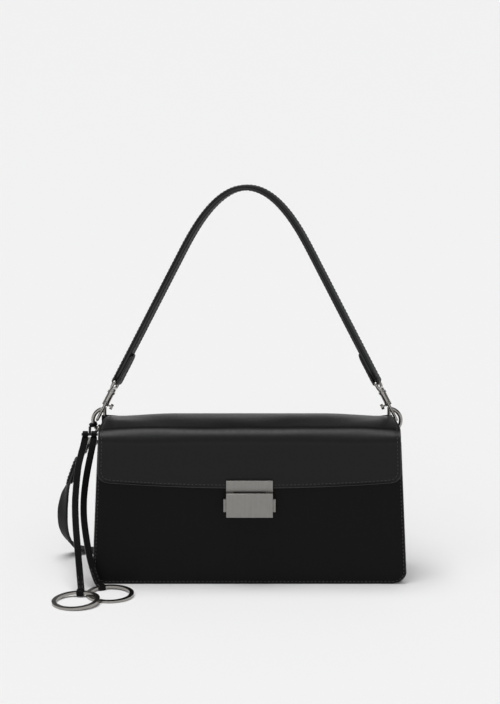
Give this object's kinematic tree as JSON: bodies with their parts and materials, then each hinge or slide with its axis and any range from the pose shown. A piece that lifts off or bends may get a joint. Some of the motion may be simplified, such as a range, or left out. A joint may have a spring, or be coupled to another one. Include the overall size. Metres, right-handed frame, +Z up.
{
  "type": "shoulder_bag",
  "caption": "Structured flap shoulder bag in smooth black leather with a steel press lock, swinging carrying strap on snap hooks, stowed long strap and leather thongs with steel rings.",
  "frame": {"origin": "middle of the front panel's lower edge, on the table", "axes": "+X right seen from the front, +Y to the back, +Z up"},
  "size_m": [0.2917, 0.1918, 0.3206],
  "materials": {
    "leather_smooth": "semi-matt smooth calf, dyed through",
    "leather_lining": "thin matt lining leather",
    "stiffener_board": "pressed fibre board",
    "lining_cloth": "plain woven lining",
    "steel_satin": "satin brushed, polished edges",
    "steel_polished": "tumbled and polished",
    "steel_plain": "plain pressed steel"
  },
  "bodies": {
    "bag": {"front_panel": "leather_smooth", "back_panel": "leather_smooth", "base_panel": "leather_smooth", "gusset_left": "leather_smooth", "gusset_right": "leather_smooth", "front_welt": "leather_smooth", "back_welt": "leather_smooth", "front_board": "stiffener_board", "back_board": "stiffener_board", "base_board": "stiffener_board", "lining": "lining_cloth", "inner_pocket": "lining_cloth", "ring_tab_left": "leather_smooth", "ring_tab_right": "leather_smooth", "tab_rivets": "steel_polished", "lock_housing": "steel_satin", "lock_face": "steel_satin", "lock_back_plate": "steel_plain", "lock_screws": "steel_plain", "lock_springs": "steel_plain", "long_strap_run": "leather_smooth", "long_strap_coil": "leather_smooth", "long_end_near": "leather_smooth", "long_end_far": "leather_smooth", "long_eye_near": "steel_polished", "long_eye_far": "steel_polished", "long_hook_near": "steel_polished", "long_hook_far": "steel_polished", "thong_keeper": "leather_smooth"},
    "flap": {"flap_leather": "leather_smooth", "flap_lining": "leather_lining", "flap_plate": "steel_satin", "flap_tongue": "steel_plain", "flap_rivets": "steel_plain"},
    "strap": {"strap_outer": "leather_smooth", "strap_inner": "leather_smooth", "strap_end_left": "leather_smooth", "strap_end_right": "leather_smooth", "strap_eye_left": "steel_polished", "strap_eye_right": "steel_polished", "strap_hook_left": "steel_polished", "strap_hook_right": "steel_polished"},
    "lock_button_left": {"lock_button_left": "steel_satin"},
    "lock_button_right": {"lock_button_right": "steel_satin"},
    "d_ring_left": {"d_ring_left": "steel_polished"},
    "d_ring_right": {"d_ring_right": "steel_polished"},
    "strap_bolt_left": {"strap_bolt_left": "steel_polished"},
    "strap_bolt_right": {"strap_bolt_right": "steel_polished"},
    "long_bolt_near": {"long_bolt_near": "steel_polished"},
    "long_bolt_far": {"long_bolt_far": "steel_polished"},
    "thongs": {"thong_left": "leather_smooth", "thong_right": "leather_smooth"},
    "key_ring_left": {"key_ring_left": "steel_polished"},
    "key_ring_right": {"key_ring_right": "steel_polished"}
  },
  "joints": [
    {"name": "flap_hinge", "type": "hinge", "parent": "bag", "child": "flap", "pos_m": [0, 0.0552, 0.13], "axis": [-1, 0, 0], "range_deg": [0, 68]},
    {"name": "strap_swing", "type": "hinge", "parent": "bag", "child": "strap", "pos_m": [0, 0.0597, 0.13395], "axis": [-1, 0, 0], "range_deg": [-28, 32]},
    {"name": "lock_button_left_press", "type": "slide", "parent": "bag", "child": "lock_button_left", "axis": [1, 0, 0], "range_m": [0, 0.0018], "stiffness_N_per_m": 700, "springref_m": -0.002},
    {"name": "lock_button_right_press", "type": "slide", "parent": "bag", "child": "lock_button_right", "axis": [-1, 0, 0], "range_m": [0, 0.0018], "stiffness_N_per_m": 700, "springref_m": -0.002},
    {"name": "d_ring_left_swing", "type": "hinge", "parent": "bag", "child": "d_ring_left", "pos_m": [-0.1212, 0.0597, 0.124], "axis": [0, 0, 1], "range_deg": [-3, 3]},
    {"name": "d_ring_right_swing", "type": "hinge", "parent": "bag", "child": "d_ring_right", "pos_m": [0.1168, 0.0597, 0.124], "axis": [0, 0, 1], "range_deg": [-10, 10]},
    {"name": "strap_bolt_left_slide", "type": "slide", "parent": "strap", "child": "strap_bolt_left", "axis": [0.4586, 0.1237, 0.88], "range_m": [0, 0.0046], "stiffness_N_per_m": 400, "springref_m": -0.003},
    {"name": "strap_bolt_right_slide", "type": "slide", "parent": "strap", "child": "strap_bolt_right", "axis": [-0.4586, 0.1237, 0.88], "range_m": [0, 0.0046], "stiffness_N_per_m": 400, "springref_m": -0.003},
    {"name": "long_bolt_near_slide", "type": "slide", "parent": "bag", "child": "long_bolt_near", "axis": [-0.5299, 0, -0.848], "range_m": [0, 0.0046], "stiffness_N_per_m": 400, "springref_m": -0.003},
    {"name": "long_bolt_far_slide", "type": "slide", "parent": "bag", "child": "long_bolt_far", "axis": [-1, 0, 0], "range_m": [0, 0.0046], "stiffness_N_per_m": 400, "springref_m": -0.003},
    {"name": "thongs_lift", "type": "hinge", "parent": "bag", "child": "thongs", "pos_m": [-0.1336, 0.0512, 0.1139], "axis": [-1, 0, 0], "range_deg": [0, 60]},
    {"name": "key_ring_left_turn", "type": "hinge", "parent": "thongs", "child": "key_ring_left", "pos_m": [-0.1399, -0.0503, 0.00249], "axis": [-0.0614, -0.046, 0.9971], "continuous": true},
    {"name": "key_ring_right_turn", "type": "hinge", "parent": "thongs", "child": "key_ring_right", "pos_m": [-0.1134, -0.0314, 0.00168], "axis": [0, -0.0349, 0.9994], "continuous": true}
  ]
}
